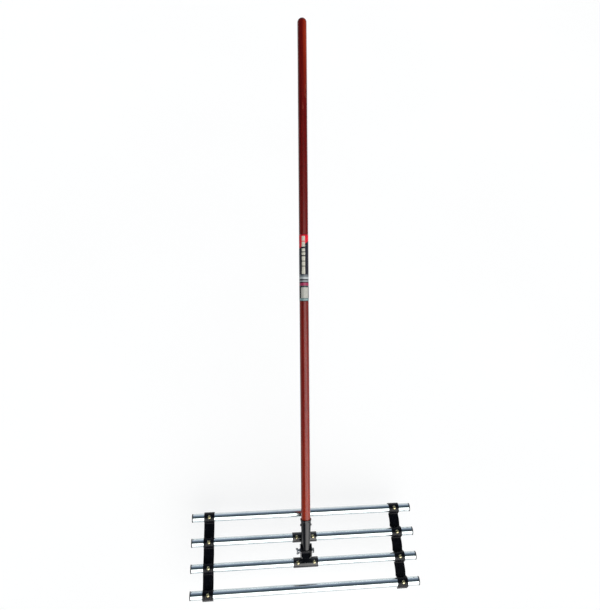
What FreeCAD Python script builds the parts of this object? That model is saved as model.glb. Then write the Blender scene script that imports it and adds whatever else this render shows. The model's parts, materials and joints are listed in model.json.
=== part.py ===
import FreeCAD, Part
import math
import os
import Sketcher
from FreeCAD import Placement, Rotation, Vector

# Lawn leveller: four steel tubes hung side by side on two belts, a hub across the middle two
# tubes, and a wooden handle that pivots on the hub. Millimetres.
# +X runs along the tubes, +Y points to the side the handle leans over, +Z is up. The origin is on
# the ground, midway between the middle two tubes.

os.makedirs("parts", exist_ok=True)
doc = FreeCAD.newDocument("LawnLeveller")

DIMENSIONS = [
    ("overall_width", 700.0, "over the end plugs"),
    ("tube_diameter", 25.4, "one inch tube"),
    ("tube_wall", 1.6, "tube wall"),
    ("tube_pitch", 71.1, "from one tube's axis to the next"),
    ("plug_flange", 3.5, "end plug's thickness outside the tube"),
    ("plug_depth", 14.0, "end plug's length inside the tube"),
    ("fit_gap", 0.1, "gap between pieces that are pushed together"),
    ("weld_gap", 0.05, "gap between pieces that are welded together"),
    ("belt_width", 32.0, "belt"),
    ("belt_thickness", 3.0, "belt"),
    ("belt_gap", 0.2, "between the belt and the tube under it"),
    ("belt_bend", 4.0, "middle radius of the bend where the belt leaves a tube"),
    ("belt_place", 296.5, "from the middle to each belt's middle"),
    ("belt_split", 1.0, "slot across the belt halfway along each outer span"),
    ("belt_end_height", 2.0, "belt's end above the ground"),
    ("screw_head", 10.6, "pan head's diameter"),
    ("screw_head_height", 3.2, "pan head"),
    ("screw_dome", 7.5, "radius of the head's dome"),
    ("screw_shank", 4.8, "thread's diameter"),
    ("screw_reach", 8.0, "how far the thread goes below the tube's top"),
    ("recess_width", 1.3, "cross recess"),
    ("recess_span", 5.6, "cross recess"),
    ("recess_depth", 2.0, "cross recess"),
    ("saddle_length", 76.0, "saddle plate along the tube"),
    ("saddle_thickness", 2.0, "saddle plate"),
    ("saddle_skirt", 3.0, "straight part below the tube's middle"),
    ("hub_screw_place", 25.1, "from the middle to each hub screw"),
    ("spine_width", 26.0, "channel that joins the saddles"),
    ("spine_thickness", 3.0, "channel's plate"),
    ("spine_depth", 11.0, "channel's height with its flanges"),
    ("spine_overhang", 2.0, "past the middle of each saddle"),
    ("yoke_width", 35.5, "over the ears"),
    ("ear_thickness", 3.0, "ear plate"),
    ("ear_front", 21.5, "from the pivot forwards"),
    ("ear_taper", 15.0, "from the pivot forwards to where the ears turn inwards"),
    ("ear_back", 20.0, "from the pivot backwards"),
    ("ear_top", 9.5, "from the pivot up"),
    ("ear_slope", 3.0, "from the pivot forwards to where the ears' tops slope down"),
    ("ear_toe", 4.0, "height of the slope's lower end above the yoke's floor"),
    ("ear_corner", 7.0, "radius of the ears' upper back corners"),
    ("pivot_height", 45.0, "pivot axis above the ground"),
    ("pivot_shift", -3.8, "pivot axis from the middle"),
    ("handle_rise", 26.2, "degrees from the ground to the handle"),
    ("bolt_diameter", 8.0, "pivot bolt"),
    ("bolt_head", 14.4, "across the hexagon's corners"),
    ("bolt_head_height", 5.0, "hexagon"),
    ("bolt_end", 28.5, "from the middle to the threaded end"),
    ("pivot_clearance", 0.05, "between the bolt and what turns on it"),
    ("washer_diameter", 16.0, "pivot washers"),
    ("washer_thickness", 1.6, "pivot washers"),
    ("nut_boss", 12.5, "wing nut's boss"),
    ("nut_height", 7.0, "wing nut's boss"),
    ("wing_span", 29.0, "over the wings"),
    ("wing_height", 11.0, "wing's size along the bolt"),
    ("wing_thickness", 2.6, "wing"),
    ("wing_turn", 35.0, "degrees of the wings from level"),
    ("barrel_diameter", 16.0, "pivot barrel"),
    ("barrel_gap", 0.2, "barrel's end to the ear"),
    ("socket_wall", 2.0, "socket"),
    ("socket_start", 3.0, "socket's lower end from the pivot"),
    ("socket_nose", 11.4, "radius of the lower end"),
    ("socket_floor", 22.0, "where the bore begins"),
    ("socket_rim", 98.0, "socket's rim from the pivot"),
    ("rim_radius", 17.1, "flared rim"),
    ("rim_length", 7.0, "length of the flare"),
    ("rim_band", 2.0, "straight edge of the rim"),
    ("rivet_place", 80.0, "socket rivets from the pivot"),
    ("rivet_diameter", 4.0, "socket rivets"),
    ("rivet_head", 8.0, "socket rivets"),
    ("rivet_head_height", 2.2, "socket rivets"),
    ("rivet_reach", 9.0, "into the wood"),
    ("handle_diameter", 28.3, "wooden pole"),
    ("handle_end", 1621.0, "pole's top from the pivot"),
    ("handle_butt", 10.6, "radius of the tapered end in the socket"),
    ("label_start", 764.5, "label's lower edge from the pivot"),
    ("label_length", 202.0, "label along the pole"),
    ("label_thickness", 0.12, "label with its glue"),
]

sheet = doc.addObject("Spreadsheet::Sheet", "Dims")
for row, (alias, value, note) in enumerate(DIMENSIONS, start=1):
    sheet.set(f"A{row}", alias)
    sheet.set(f"B{row}", str(value))
    sheet.set(f"C{row}", note)
    sheet.setAlias(f"B{row}", alias)
doc.recompute()

# Expressions that several pieces share.
TUBE_RADIUS = "Dims.tube_diameter / 2"
TUBE_LENGTH = "(Dims.overall_width - 2 * Dims.plug_flange)"
ARCH_IN = "(Dims.tube_diameter / 2 + Dims.belt_gap)"
ARCH_OUT = "(Dims.tube_diameter / 2 + Dims.belt_gap + Dims.belt_thickness)"
BEND_IN = "(Dims.belt_bend - Dims.belt_thickness / 2)"
BEND_OUT = "(Dims.belt_bend + Dims.belt_thickness / 2)"
BEND_CENTRE = "(Dims.tube_diameter / 2 + Dims.belt_gap + Dims.belt_thickness / 2 + Dims.belt_bend)"
WEB_BOTTOM = "(Dims.tube_diameter / 2 - Dims.belt_bend - Dims.belt_thickness / 2)"
SADDLE_IN = "(Dims.tube_diameter / 2 + Dims.fit_gap)"
SADDLE_OUT = "(Dims.tube_diameter / 2 + Dims.fit_gap + Dims.saddle_thickness)"
SPINE_TOP = f"(Dims.tube_diameter / 2 + {SADDLE_OUT} + Dims.spine_thickness)"
DRILL = "(Dims.screw_shank / 2 + Dims.fit_gap)"
EAR_OUT = "(Dims.yoke_width / 2)"

# Turns that point a primitive's own Z along X. START_BACK begins a part cylinder's angle at +Y
# and runs it upwards; the others begin at the front, below, and behind-below.
START_BACK = Rotation(Vector(0, 1, 0), Vector(0, 0, 1), Vector(1, 0, 0), "ZXY")
START_FRONT = Rotation(Vector(1, 0, 0), 180) * START_BACK
START_BELOW = Rotation(Vector(1, 0, 0), 270) * START_BACK
UPRIGHT = Rotation()


def bind(item, **expressions):
    """Ties an object's properties to the sheet; x, y and z are its position."""
    places = {"x": "Placement.Base.x", "y": "Placement.Base.y", "z": "Placement.Base.z"}
    for name, expression in expressions.items():
        item.setExpression(places.get(name, name), expression)
    return item


def solid(kind, turn=UPRIGHT, **expressions):
    """A Part primitive with every size and place bound to the sheet."""
    item = doc.addObject(f"Part::{kind}", kind)
    item.Placement = Placement(Vector(), turn)
    return bind(item, **expressions)


def box(x, y, z, length, width, height):
    """A box whose x is its middle; y and z are its lowest corner."""
    return solid("Box", x=f"{x} - ({length}) / 2", y=y, z=z, Length=length, Width=width, Height=height)


def rod(radius, length, x, y, z, turn=START_BACK, angle="360"):
    """A cylinder along +X, or a slice of one, from the given start."""
    return solid("Cylinder", turn, x=x, y=y, z=z, Radius=radius, Height=length, Angle=angle)


def post(radius, height, x, y, z):
    """An upright cylinder."""
    return solid("Cylinder", x=x, y=y, z=z, Radius=radius, Height=height)


def fuse(pieces):
    item = doc.addObject("Part::MultiFuse", "Fusion")
    item.Shapes = pieces
    item.Refine = True
    return item


def cut(base, tools):
    item = doc.addObject("Part::Cut", "Cut")
    item.Base = base
    item.Tool = tools[0] if len(tools) == 1 else fuse(tools)
    item.Refine = True
    return item


def group(pieces):
    item = doc.addObject("Part::Compound", "Group")
    item.Links = pieces
    return item


subparts = []


def subpart(item, label):
    """Names a finished piece, which is also the name of its file."""
    item.Label = label
    subparts.append(item)
    return item


def origin_plane(body, role):
    return next(item for item in body.Origin.OriginFeatures if item.Role == role)


def outline(body, plane, points):
    """A closed sketch of straight lines, each corner bound to the sheet by two expressions."""
    sketch = body.newObject("Sketcher::SketchObject", "Outline")
    sketch.AttachmentSupport = [(origin_plane(body, plane), "")]
    sketch.MapMode = "FlatFace"
    places = [Vector(sheet.evalExpression(across), sheet.evalExpression(up), 0) for across, up in points]
    count = len(points)
    for index in range(count):
        sketch.addGeometry(Part.LineSegment(places[index], places[(index + 1) % count]))
    for index in range(count):
        sketch.addConstraint(Sketcher.Constraint("Coincident", index, 2, (index + 1) % count, 1))
    for index, (across, up) in enumerate(points):
        for kind, expression in (("DistanceX", across), ("DistanceY", up)):
            value = float(sheet.evalExpression(expression))
            number = sketch.addConstraint(Sketcher.Constraint(kind, -1, 1, index, 1, value))
            sketch.setExpression(f"Constraints[{number}]", expression)
    return sketch


def turned(name, points):
    """A body of revolution about its own Z; each point is a radius and a height."""
    body = doc.addObject("PartDesign::Body", name)
    sketch = outline(body, "XZ_Plane", points)
    feature = body.newObject("PartDesign::Revolution", "Turned")
    feature.Profile = sketch
    feature.ReferenceAxis = (sketch, ["V_Axis"])
    doc.recompute()
    return body


def prism(name, plane, points, length, symmetric=True):
    """A straight body with the given outline, padded both ways from its plane or up from it."""
    body = doc.addObject("PartDesign::Body", name)
    pad = body.newObject("PartDesign::Pad", "Plate")
    pad.Profile = outline(body, plane, points)
    if symmetric:
        pad.SideType = "Symmetric"
    pad.setExpression("Length", length)
    return body


def along_handle(item):
    """Places a piece that was made standing on the pivot so that it follows the handle."""
    item.Placement = Placement(Vector(), Rotation(Vector(1, 0, 0), -1))
    item.setExpression("Placement.Rotation.Angle", "Dims.handle_rise - 90")
    return bind(item, y="Dims.pivot_shift", z="Dims.pivot_height")


def tube_place(index):
    """Tube 1 is at the back, tube 4 at the front."""
    return f"({2.5 - index} * Dims.tube_pitch)"


def tube(index, screw_places):
    """A round tube with a hole in its top for every screw."""
    y = tube_place(index)
    outer = rod(TUBE_RADIUS, TUBE_LENGTH, f"-{TUBE_LENGTH} / 2", y, TUBE_RADIUS)
    bore_radius = f"{TUBE_RADIUS} - Dims.tube_wall"
    bore = rod(bore_radius, "Dims.overall_width", "-Dims.overall_width / 2", y, TUBE_RADIUS)
    holes = [post(DRILL, "Dims.tube_diameter", x, y, TUBE_RADIUS) for x in screw_places]
    return subpart(cut(outer, [bore] + holes), f"tube_{index}")


def plug(index, side, label):
    """A flanged plug that closes one end of a tube."""
    y = tube_place(index)
    inside = f"({TUBE_RADIUS} - Dims.tube_wall - Dims.fit_gap)"
    end = f"{TUBE_LENGTH} / 2"
    if side > 0:
        flange_x, shank_x = end, f"{end} - Dims.plug_depth"
    else:
        flange_x, shank_x = "-Dims.overall_width / 2", f"-{end}"
    flange = rod(TUBE_RADIUS, "Dims.plug_flange", flange_x, y, TUBE_RADIUS)
    shank = rod(inside, "Dims.plug_depth", shank_x, y, TUBE_RADIUS)
    return subpart(fuse([flange, shank]), label)


def arch(index, x):
    """The belt's half turn over a tube."""
    start = f"{x} - Dims.belt_width / 2"
    y = tube_place(index)
    outer = rod(ARCH_OUT, "Dims.belt_width", start, y, TUBE_RADIUS, START_BACK, "180")
    inner = rod(ARCH_IN, "Dims.belt_width", start, y, TUBE_RADIUS)
    return cut(outer, [inner])


def bend(index, side, x):
    """The quarter turn by which the belt leaves a tube; side is +1 to the back, -1 to the front."""
    start = f"{x} - Dims.belt_width / 2"
    y = f"{tube_place(index)} + {side} * {BEND_CENTRE}"
    turn = START_FRONT if side > 0 else START_BELOW
    outer = rod(BEND_OUT, "Dims.belt_width", start, y, TUBE_RADIUS, turn, "90")
    inner = rod(BEND_IN, "Dims.belt_width", start, y, TUBE_RADIUS)
    return cut(outer, [inner])


def web(low, high, x):
    """The belt's straight span between two places along Y."""
    return box(x, low, WEB_BOTTOM, "Dims.belt_width", f"{high} - ({low})", "Dims.belt_thickness")


def tab(index, side, x):
    """The belt's end, which hangs down the outer side of an outer tube."""
    low = ARCH_IN if side > 0 else f"-{ARCH_OUT}"
    y = f"{tube_place(index)} + {low}"
    height = f"{TUBE_RADIUS} - Dims.belt_end_height"
    return box(x, y, "Dims.belt_end_height", "Dims.belt_width", "Dims.belt_thickness", height)


def belt_section(tubes, pieces, x, label):
    holes = [post(DRILL, "Dims.tube_diameter", x, tube_place(index), TUBE_RADIUS) for index in tubes]
    return subpart(cut(fuse(pieces), holes), label)


def belt(side, name):
    """One belt, as the three sections that its two bending places leave."""
    x = f"({side} * Dims.belt_place)"
    back_split = "Dims.tube_pitch"
    front_split = "-Dims.tube_pitch"
    half_slot = "Dims.belt_split / 2"
    rear = [
        tab(1, 1, x), arch(1, x), bend(1, -1, x),
        web(f"{back_split} + {half_slot}", f"{tube_place(1)} - {BEND_CENTRE}", x),
    ]
    belt_section([1], rear, x, f"belt_{name}_rear")
    middle = [
        web(f"{tube_place(2)} + {BEND_CENTRE}", f"{back_split} - {half_slot}", x), bend(2, 1, x),
        arch(2, x), bend(2, -1, x),
        web(f"{tube_place(3)} + {BEND_CENTRE}", f"{tube_place(2)} - {BEND_CENTRE}", x),
        bend(3, 1, x), arch(3, x), bend(3, -1, x),
        web(f"{front_split} + {half_slot}", f"{tube_place(3)} - {BEND_CENTRE}", x),
    ]
    belt_section([2, 3], middle, x, f"belt_{name}_middle")
    front = [
        web(f"{tube_place(4)} + {BEND_CENTRE}", f"{front_split} - {half_slot}", x),
        bend(4, 1, x), arch(4, x), tab(4, -1, x),
    ]
    belt_section([4], front, x, f"belt_{name}_front")


def screw(x, y, seat):
    """A pan-head screw with a cross recess; seat is the height of the face under its head."""
    top = f"({seat} + Dims.screw_head_height)"
    rim = post("Dims.screw_head / 2", "Dims.screw_head_height", x, y, seat)
    dome = solid("Sphere", x=x, y=y, z=f"{top} - Dims.screw_dome", Radius="Dims.screw_dome")
    head = doc.addObject("Part::MultiCommon", "Head")
    head.Shapes = [rim, dome]
    reach = f"({seat} - Dims.tube_diameter + Dims.screw_reach)"
    shank = post("Dims.screw_shank / 2", reach, x, y, f"{seat} - {reach}")
    slot_y = f"{y} - Dims.recess_width / 2"
    slot_z = f"{top} - Dims.recess_depth"
    across = box(x, slot_y, slot_z, "Dims.recess_span", "Dims.recess_width", "Dims.recess_depth")
    along_y = f"{y} - Dims.recess_span / 2"
    along = box(x, along_y, slot_z, "Dims.recess_width", "Dims.recess_span", "Dims.recess_depth")
    return cut(fuse([head, shank]), [across, along])


def belt_screws(tubes, label):
    seat = f"({TUBE_RADIUS} + {ARCH_OUT})"
    places = [f"({side} * Dims.belt_place)" for side in (-1, 1)]
    screws = [screw(x, tube_place(index), seat) for index in tubes for x in places]
    return subpart(group(screws), label)


def hub_screws():
    seat = f"({TUBE_RADIUS} + {SADDLE_OUT})"
    places = [f"({side} * Dims.hub_screw_place)" for side in (-1, 1)]
    screws = [screw(x, tube_place(index), seat) for index in (2, 3) for x in places]
    return subpart(group(screws), "hub_screws")


def saddle(index, label):
    """A half-round plate over one of the middle tubes, with short straight skirts."""
    y = tube_place(index)
    start = "-Dims.saddle_length / 2"
    shell = rod(SADDLE_OUT, "Dims.saddle_length", start, y, TUBE_RADIUS, START_BACK, "180")
    skirt_z = f"{TUBE_RADIUS} - Dims.saddle_skirt"
    long, deep = "Dims.saddle_length", "Dims.saddle_skirt"
    block = box("0", f"{y} - {SADDLE_OUT}", skirt_z, long, f"2 * {SADDLE_OUT}", deep)
    core = rod(SADDLE_IN, "Dims.saddle_length", start, y, TUBE_RADIUS)
    core_box = box("0", f"{y} - {SADDLE_IN}", skirt_z, long, f"2 * {SADDLE_IN}", deep)
    places = [f"{side} * Dims.hub_screw_place" for side in (-1, 1)]
    holes = [post(DRILL, "Dims.tube_diameter", place, y, TUBE_RADIUS) for place in places]
    return subpart(cut(fuse([shell, block]), [core, core_box] + holes), label)


def spine():
    """An inverted channel that joins the two saddles, its flanges shaped to them."""
    reach = f"({tube_place(2)} + Dims.spine_overhang)"
    bottom = f"{SPINE_TOP} - Dims.spine_depth"
    block = box("0", f"-{reach}", bottom, "Dims.spine_width", f"2 * {reach}", "Dims.spine_depth")
    hollow_height = "Dims.spine_depth - Dims.spine_thickness"
    hollow_width = "Dims.spine_width - 2 * Dims.spine_thickness"
    hollow = box("0", f"-{reach}", bottom, hollow_width, f"2 * {reach}", hollow_height)
    saddles = [
        rod(f"{SADDLE_OUT} + Dims.weld_gap", "Dims.saddle_length", "-Dims.saddle_length / 2",
            tube_place(index), TUBE_RADIUS)
        for index in (2, 3)
    ]
    trims = [
        box("0", y, bottom, "Dims.spine_width", "Dims.spine_overhang", hollow_height)
        for y in (f"-{reach}", tube_place(2))
    ]
    return subpart(cut(block, [hollow] + saddles + trims), "hub_spine")


def ear_outline(half_width, half_toe, spare):
    """The yoke's plan, seen from above, with its front corners drawn in to the spine's width."""
    front = f"Dims.pivot_shift - Dims.ear_front - {spare}"
    taper = "Dims.pivot_shift - Dims.ear_taper"
    back = f"Dims.pivot_shift + Dims.ear_back + {spare}"
    return [
        (half_toe, front), (half_width, taper), (half_width, back),
        (f"-{half_width}", back), (f"-{half_width}", taper), (f"-{half_toe}", front),
    ]


def yoke():
    """A folded bracket whose two ears carry the pivot bolt and turn in to the spine at the front."""
    top = "(Dims.pivot_height + Dims.ear_top)"
    floor = f"({SPINE_TOP} + Dims.ear_thickness)"
    block = prism("YokeBlock", "XY_Plane", ear_outline(EAR_OUT, "(Dims.spine_width / 2)", "0"),
                  f"{top} - {SPINE_TOP}", symmetric=False)
    bind(block, z=SPINE_TOP)
    inner = "(Dims.yoke_width / 2 - Dims.ear_thickness)"
    inner_toe = "(Dims.spine_width / 2 - Dims.ear_thickness)"
    plan = ear_outline(inner, inner_toe, "0.5")
    gap = prism("YokeGap", "XY_Plane", plan, f"{top} - {SPINE_TOP}", symmetric=False)
    bind(gap, z=floor)
    hole = rod("Dims.bolt_diameter / 2 + Dims.fit_gap", "2 * Dims.yoke_width", "-Dims.yoke_width",
               "Dims.pivot_shift", "Dims.pivot_height")
    front = "Dims.pivot_shift - Dims.ear_front - 1"
    slope = [
        (front, f"{floor} + Dims.ear_toe"), ("Dims.pivot_shift - Dims.ear_slope", top),
        ("Dims.pivot_shift - Dims.ear_slope", f"{top} + 1"), (front, f"{top} + 1"),
    ]
    wedge = prism("YokeSlope", "YZ_Plane", slope, "2 * Dims.yoke_width")
    folded = cut(block, [gap, hole, wedge])
    doc.recompute()
    rounded = doc.addObject("Part::Fillet", "Yoke")
    rounded.Base = folded
    back = sheet.evalExpression("Dims.pivot_shift + Dims.ear_back")
    high = sheet.evalExpression(top)
    radius = float(sheet.evalExpression("Dims.ear_corner"))
    corners = []
    for number, edge in enumerate(folded.Shape.Edges, start=1):
        bounds = edge.BoundBox
        level = bounds.XLength > 1 and bounds.YLength < 0.01 and bounds.ZLength < 0.01
        if level and abs(bounds.ZMin - high) < 0.01 and abs(bounds.YMin - back) < 0.01:
            corners.append(number)
    rounded.Edges = [(number, radius, radius) for number in corners]
    return subpart(rounded, "yoke")


def bolt():
    """The pivot bolt: hexagon on the +X side, thread end on the -X side."""
    y, z = "Dims.pivot_shift", "Dims.pivot_height"
    head_x = f"{EAR_OUT} + Dims.washer_thickness"
    head = solid("Prism", START_BACK, x=head_x, y=y, z=z,
                 Circumradius="Dims.bolt_head / 2", Height="Dims.bolt_head_height")
    head.Polygon = 6
    shank = rod("Dims.bolt_diameter / 2", f"{head_x} + Dims.bolt_end", "-Dims.bolt_end", y, z)
    return subpart(fuse([head, shank]), "pivot_bolt")


def washer(x, label):
    y, z = "Dims.pivot_shift", "Dims.pivot_height"
    disc = rod("Dims.washer_diameter / 2", "Dims.washer_thickness", x, y, z)
    hole = rod("Dims.bolt_diameter / 2 + Dims.pivot_clearance", "Dims.washer_thickness", x, y, z)
    return subpart(cut(disc, [hole]), label)


def wing_nut():
    """A boss with two wings that rise away from the ear."""
    y, z = "Dims.pivot_shift", "Dims.pivot_height"
    seat = f"({EAR_OUT} + Dims.washer_thickness + 2 * Dims.pivot_clearance)"
    boss = rod("Dims.nut_boss / 2", "Dims.nut_height", f"-{seat} - Dims.nut_height", y, z)
    hole_radius = "Dims.bolt_diameter / 2 + Dims.pivot_clearance"
    hole = rod(hole_radius, "2 * Dims.yoke_width", "-2 * Dims.yoke_width", y, z)
    wings = []
    root = "Dims.bolt_diameter / 2 + 1"
    points = [
        (f"-{seat} - 0.5", root),
        (f"-{seat} - 2", "Dims.nut_boss / 2 + 1"),
        (f"-{seat} - Dims.wing_height * 0.55", "Dims.wing_span / 2"),
        (f"-{seat} - Dims.wing_height", "Dims.wing_span / 2 - 1.5"),
        (f"-{seat} - Dims.wing_height * 0.95", "Dims.wing_span / 2 - 6"),
        (f"-{seat} - Dims.nut_height + 0.5", root),
    ]
    for flip in (0, 180):
        wing = prism("Wing", "XZ_Plane", points, "Dims.wing_thickness")
        wing.Placement = Placement(Vector(), Rotation(Vector(1, 0, 0), 1))
        wing.setExpression("Placement.Rotation.Angle", f"Dims.wing_turn + {flip}")
        wings.append(bind(wing, y=y, z=z))
    return subpart(cut(fuse([boss] + wings), [hole]), "wing_nut")


def barrel():
    """The short cross tube at the socket's lower end that turns on the pivot bolt."""
    y, z = "Dims.pivot_shift", "Dims.pivot_height"
    length = "(Dims.yoke_width - 2 * Dims.ear_thickness - 2 * Dims.barrel_gap)"
    outer = rod("Dims.barrel_diameter / 2", length, f"-{length} / 2", y, z)
    bore = rod("Dims.bolt_diameter / 2 + Dims.pivot_clearance", length, f"-{length} / 2", y, z)
    return subpart(cut(outer, [bore]), "pivot_barrel")


def rivet_bore(radius, start, length, side):
    """A rod across the handle at the rivets, made standing on the pivot."""
    x = start if side > 0 else f"-({start}) - ({length})"
    return rod(radius, length, x, "0", "Dims.rivet_place")


POLE = "Dims.handle_diameter / 2"
TAPER_END = "(Dims.socket_rim - 2)"
BORE_START = "(Dims.handle_butt + Dims.fit_gap)"
BORE_END = f"({POLE} + Dims.fit_gap)"


def socket():
    """A tapered steel socket with a flared rim, a solid nose and two rivet holes."""
    flare = "(Dims.socket_rim - Dims.rim_length)"
    points = [
        ("0", "Dims.socket_start"),
        ("Dims.socket_nose", "Dims.socket_start"),
        (f"{BORE_START} + Dims.socket_wall", "Dims.socket_floor + 3"),
        (f"{BORE_END} + Dims.socket_wall - 0.4", flare),
        ("Dims.rim_radius", "Dims.socket_rim - Dims.rim_band"),
        ("Dims.rim_radius", "Dims.socket_rim"),
        ("Dims.rim_radius - 1.2", "Dims.socket_rim"),
        (BORE_END, TAPER_END),
        (BORE_START, "Dims.socket_floor"),
        ("0", "Dims.socket_floor"),
    ]
    shell = turned("SocketShell", points)
    seat_radius = "Dims.barrel_diameter / 2 + Dims.weld_gap"
    seat = rod(seat_radius, "2 * Dims.yoke_width", "-Dims.yoke_width", "0", "0")
    drill = "Dims.rivet_diameter / 2"
    holes = [rivet_bore(drill, "Dims.handle_butt", "Dims.rivet_reach", side) for side in (-1, 1)]
    return subpart(along_handle(cut(shell, [seat] + holes)), "handle_socket")


def pole():
    """The wooden pole: tapered at the bottom to sit in the socket, round at the top."""
    points = [
        ("0", "Dims.socket_floor + Dims.fit_gap"),
        ("Dims.handle_butt", "Dims.socket_floor + Dims.fit_gap"),
        (POLE, "Dims.socket_rim + Dims.fit_gap"),
        (POLE, f"Dims.handle_end - {POLE}"),
        ("0", f"Dims.handle_end - {POLE}"),
    ]
    shaft = turned("PoleShaft", points)
    dome = solid("Sphere", z=f"Dims.handle_end - {POLE}", Radius=POLE)
    depth = f"({POLE} - Dims.rivet_reach + 2)"
    holes = [rivet_bore("Dims.rivet_diameter / 2", depth, "Dims.rivet_reach", side) for side in (-1, 1)]
    return subpart(along_handle(cut(fuse([shaft, dome]), holes)), "wooden_handle")


def label():
    """A printed wrap round the pole."""
    outer = post(f"{POLE} + Dims.label_thickness", "Dims.label_length", "0", "0", "Dims.label_start")
    inner = post(POLE, "Dims.label_length", "0", "0", "Dims.label_start")
    return subpart(along_handle(cut(outer, [inner])), "handle_label")


def rivets():
    """Two round-head rivets, one each side of the socket."""
    slope = f"({BORE_END} - {BORE_START}) / ({TAPER_END} - Dims.socket_floor)"
    height = "(Dims.rivet_place + Dims.rivet_head / 2 - Dims.socket_floor)"
    wall = f"({BORE_START} + {slope} * {height} + Dims.socket_wall)"
    inner_end = f"({POLE} - Dims.rivet_reach + 2.5)"
    pieces = []
    for side in (-1, 1):
        thin = "Dims.rivet_diameter / 2 - Dims.fit_gap"
        shank = rivet_bore(thin, inner_end, f"{wall} - {inner_end}", side)
        plate = rivet_bore("Dims.rivet_head / 2", wall, "Dims.rivet_head_height", side)
        ball_x = f"{side} * ({wall} + Dims.rivet_head_height - Dims.rivet_head * 0.6)"
        ball = solid("Sphere", x=ball_x, z="Dims.rivet_place", Radius="Dims.rivet_head * 0.6")
        head = doc.addObject("Part::MultiCommon", "Head")
        head.Shapes = [plate, ball]
        pieces.append(fuse([shank, head]))
    return subpart(along_handle(group(pieces)), "socket_rivets")


BELT_PLACES = [f"({side} * Dims.belt_place)" for side in (-1, 1)]
HUB_PLACES = [f"({side} * Dims.hub_screw_place)" for side in (-1, 1)]
for number in (1, 2, 3, 4):
    tube(number, BELT_PLACES + HUB_PLACES if number in (2, 3) else BELT_PLACES)
    plug(number, -1, f"end_plug_{number}_left")
    plug(number, 1, f"end_plug_{number}_right")
belt(-1, "left")
belt(1, "right")
belt_screws([1], "belt_screws_rear")
belt_screws([2, 3], "belt_screws_middle")
belt_screws([4], "belt_screws_front")
saddle(2, "hub_saddle_rear")
saddle(3, "hub_saddle_front")
hub_screws()
spine()
yoke()
bolt()
washer(EAR_OUT, "bolt_head_washer")
washer(f"-{EAR_OUT} - Dims.washer_thickness - Dims.pivot_clearance", "pivot_washer")
wing_nut()
barrel()
socket()
pole()
label()
rivets()

doc.recompute()
for item in doc.Objects:
    if "Invalid" in item.State or "Error" in item.State:
        raise RuntimeError(f"{item.Name} ({item.Label}) failed: {item.State}")
for item in subparts:
    if item.Shape.isNull() or not item.Shape.isValid():
        raise RuntimeError(f"{item.Label} has no valid shape")
for item in subparts:
    item.Shape.exportStep(f"parts/{item.Label}.step")
    print(item.Label, len(item.Shape.Solids), round(item.Shape.Volume / 1000, 2))
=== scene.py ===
import json
import math
import bpy
from mathutils import Matrix, Vector, noise


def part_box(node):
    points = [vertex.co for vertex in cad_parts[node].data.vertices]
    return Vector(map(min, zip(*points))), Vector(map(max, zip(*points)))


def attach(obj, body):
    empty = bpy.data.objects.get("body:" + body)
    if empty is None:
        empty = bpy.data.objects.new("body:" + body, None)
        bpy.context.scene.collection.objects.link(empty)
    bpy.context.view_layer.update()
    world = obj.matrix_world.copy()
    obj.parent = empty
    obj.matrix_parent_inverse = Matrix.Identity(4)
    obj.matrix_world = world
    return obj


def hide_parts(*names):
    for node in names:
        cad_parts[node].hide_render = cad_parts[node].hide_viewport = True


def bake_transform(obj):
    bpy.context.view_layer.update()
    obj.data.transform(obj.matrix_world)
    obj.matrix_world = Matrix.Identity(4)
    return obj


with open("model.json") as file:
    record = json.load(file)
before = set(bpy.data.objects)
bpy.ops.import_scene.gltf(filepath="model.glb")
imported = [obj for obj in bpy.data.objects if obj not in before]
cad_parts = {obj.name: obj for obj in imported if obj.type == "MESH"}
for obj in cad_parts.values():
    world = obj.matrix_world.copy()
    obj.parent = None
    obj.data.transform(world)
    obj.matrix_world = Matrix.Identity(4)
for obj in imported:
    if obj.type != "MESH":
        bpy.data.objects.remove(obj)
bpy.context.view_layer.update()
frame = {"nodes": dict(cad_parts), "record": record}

# Lawn leveller. Metres, in the CAD frame: +X along the tubes, +Y to the side the handle leans
# over, +Z up, with the origin on the ground under the middle of the head.

# ---------------------------------------------------------------- sizes read from the frame

record = frame["record"]
joints = {joint["name"]: joint for joint in record["behaviour"]["joints"]}
mounts = {mount["name"]: mount for mount in record["mounts"]}
PIVOT = Vector(joints["head_tilt"]["pos_m"])
ALONG = Vector(mounts["handle_grip"]["axis"]).normalized()
ACROSS = Vector((1, 0, 0))
OUTWARD = ACROSS.cross(ALONG)
LEAN = math.atan2(ALONG.y, ALONG.z)
POLE_R = mounts["handle_grip"]["dims"]["r_mm"] / 1000


def middle(node):
    """The middle of a CAD piece's box."""
    low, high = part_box(node)
    return (Vector(low) + Vector(high)) / 2


def along_handle(point):
    """How far a point lies along the handle from the pivot."""
    return (Vector(point) - PIVOT).dot(ALONG)


def length_along(node, radius):
    """The length of a round piece that lies along the handle, worked out from its box."""
    low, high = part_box(node)
    return (high[1] - low[1] - 2 * radius * math.sqrt(1 - ALONG.y ** 2)) / ALONG.y


TUBES = ("tube_1", "tube_2", "tube_3", "tube_4")
TUBE_Y = [middle(node).y for node in TUBES]
TUBE_R = middle("tube_1").z
BELT_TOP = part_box("belt_left_middle")[1][2]
BELT_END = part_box("belt_left_rear")[0][2]
BELT_X = {"left": middle("belt_left_middle").x, "right": middle("belt_right_middle").x}
BELT_HALF = (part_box("belt_left_middle")[1][0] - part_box("belt_left_middle")[0][0]) / 2
HUB_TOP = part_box("hub_saddle_front")[1][2]
SCREW_R = (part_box("belt_screws_rear")[1][1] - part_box("belt_screws_rear")[0][1]) / 2
POLE_LENGTH = (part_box("wooden_handle")[1][2] - POLE_R - PIVOT.z) / ALONG.z + POLE_R
LABEL_LENGTH = length_along("handle_label", POLE_R)
LABEL_LOW = along_handle(middle("handle_label")) - LABEL_LENGTH / 2

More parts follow.
